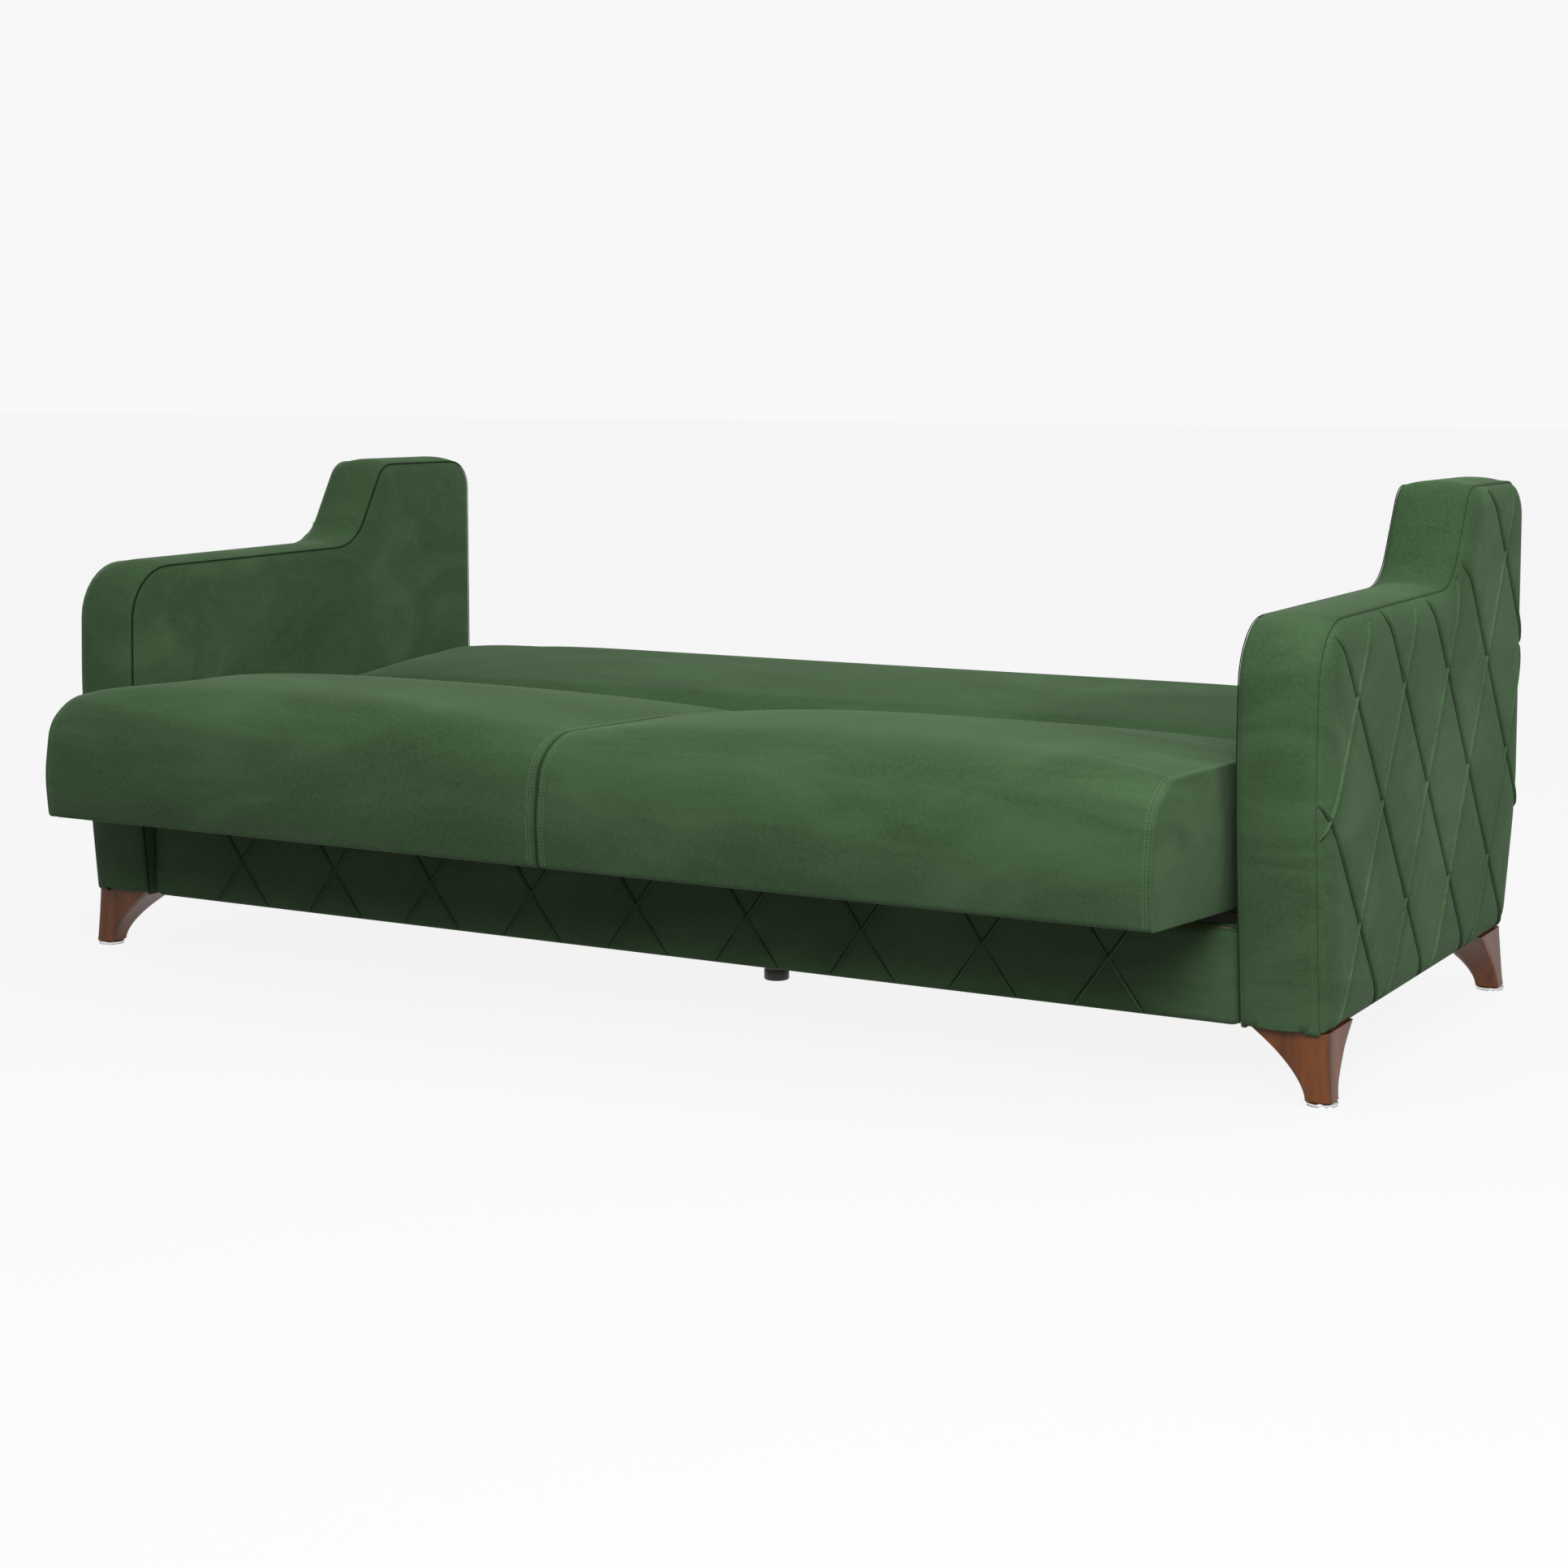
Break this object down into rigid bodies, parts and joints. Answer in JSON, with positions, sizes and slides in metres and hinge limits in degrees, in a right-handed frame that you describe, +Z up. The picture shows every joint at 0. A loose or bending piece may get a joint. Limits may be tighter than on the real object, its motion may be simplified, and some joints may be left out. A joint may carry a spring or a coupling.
{
  "type": "sofa bed",
  "caption": "Upholstered sofa bed with storage chest, quilted front and arms, winged arms and flared wooden legs. The back folds flat as the seat swings forward to make a bed.",
  "frame": {"origin": "bottom centre of the sofa bed in its bed pose, on the floor", "axes": "+X along the length to the right end as seen from the front, +Y to the rear, +Z up"},
  "size_m": [2.163, 1.1623, 0.7909],
  "materials": {
    "velvet": "mid green short-pile velvet with a soft nap",
    "walnut": "walnut-stained beech, satin lacquer",
    "pine": "planed softwood, unfinished",
    "plywood": "plain plywood",
    "hardboard": "brown hardboard, smooth face up",
    "chrome": "bright chrome",
    "steel": "zinc-plated pressed steel",
    "black_plastic": "moulded black plastic",
    "rubber": "black rubber buffer",
    "lining": "black non-woven lining"
  },
  "bodies": {
    "base": {"chest_front_panel": "velvet", "chest_front_board": "pine", "chest_rear_board": "pine", "chest_side_board_left": "pine", "chest_side_board_right": "pine", "chest_floor_board": "hardboard", "chest_cross_beam": "pine", "centre_leg": "black_plastic", "leg_front_left": "walnut", "leg_front_right": "walnut", "leg_rear_left": "walnut", "leg_rear_right": "walnut", "glide_front_left": "chrome", "glide_front_right": "chrome", "glide_rear_left": "chrome", "glide_rear_right": "chrome", "arm_inner_panel_left": "velvet", "arm_inner_panel_right": "velvet", "arm_outer_panel_left": "velvet", "arm_outer_panel_right": "velvet", "arm_band_left": "velvet", "arm_band_right": "velvet", "arm_core_left": "pine", "arm_core_right": "pine", "arm_bolt_front_left": "steel", "arm_bolt_front_right": "steel", "arm_bolt_rear_left": "steel", "arm_bolt_rear_right": "steel", "base_bracket_left": "steel", "base_bracket_right": "steel"},
    "rear_links": {"swing_link_rear_left": "steel", "swing_link_rear_right": "steel"},
    "front_links": {"swing_link_front_left": "steel", "swing_link_front_right": "steel"},
    "carriage": {"carriage_plate_left": "steel", "carriage_plate_right": "steel", "hinge_pin_left": "steel", "hinge_pin_right": "steel", "seat_rest_left": "rubber", "seat_rest_right": "rubber"},
    "seat": {"seat_cushion_left": "velvet", "seat_cushion_right": "velvet", "seat_front_rail": "pine", "seat_rear_rail": "pine", "seat_side_rail_left": "pine", "seat_side_rail_right": "pine", "seat_deck": "plywood", "seat_arm_left": "steel", "seat_arm_right": "steel"},
    "back": {"back_cushion": "velvet", "back_front_rail": "pine", "back_rear_rail": "pine", "back_side_rail_left": "pine", "back_side_rail_right": "pine", "back_deck": "plywood", "back_dust_cover": "lining", "back_arm_left": "steel", "back_arm_right": "steel"}
  },
  "joints": [
    {"name": "fold_swing", "type": "hinge", "parent": "base", "child": "rear_links", "pos_m": [0, 0.16349, 0.16894], "axis": [-1, 0, 0], "range_deg": [0, 107.4]},
    {"name": "front_link_swing", "type": "hinge", "parent": "base", "child": "front_links", "pos_m": [0, -0.12651, 0.16894], "axis": [-1, 0, 0], "range_deg": [0, 107.4]},
    {"name": "carriage_level", "type": "hinge", "parent": "rear_links", "child": "carriage", "pos_m": [0, 0.0545, 0.272], "axis": [1, 0, 0], "range_deg": [0, 107.4]},
    {"name": "back_recline", "type": "hinge", "parent": "carriage", "child": "back", "pos_m": [0, 0.0915, 0.405], "axis": [1, 0, 0], "range_deg": [0, 75.2]},
    {"name": "seat_lift", "type": "hinge", "parent": "carriage", "child": "seat", "pos_m": [0, 0.0915, 0.405], "axis": [-1, 0, 0], "range_deg": [0, 36]}
  ],
  "couplings": [
    {"joint": "front_link_swing", "follows": "fold_swing", "ratio": 1},
    {"joint": "carriage_level", "follows": "fold_swing", "ratio": 1},
    {"joint": "back_recline", "follows": "fold_swing", "ratio": 0.7}
  ]
}
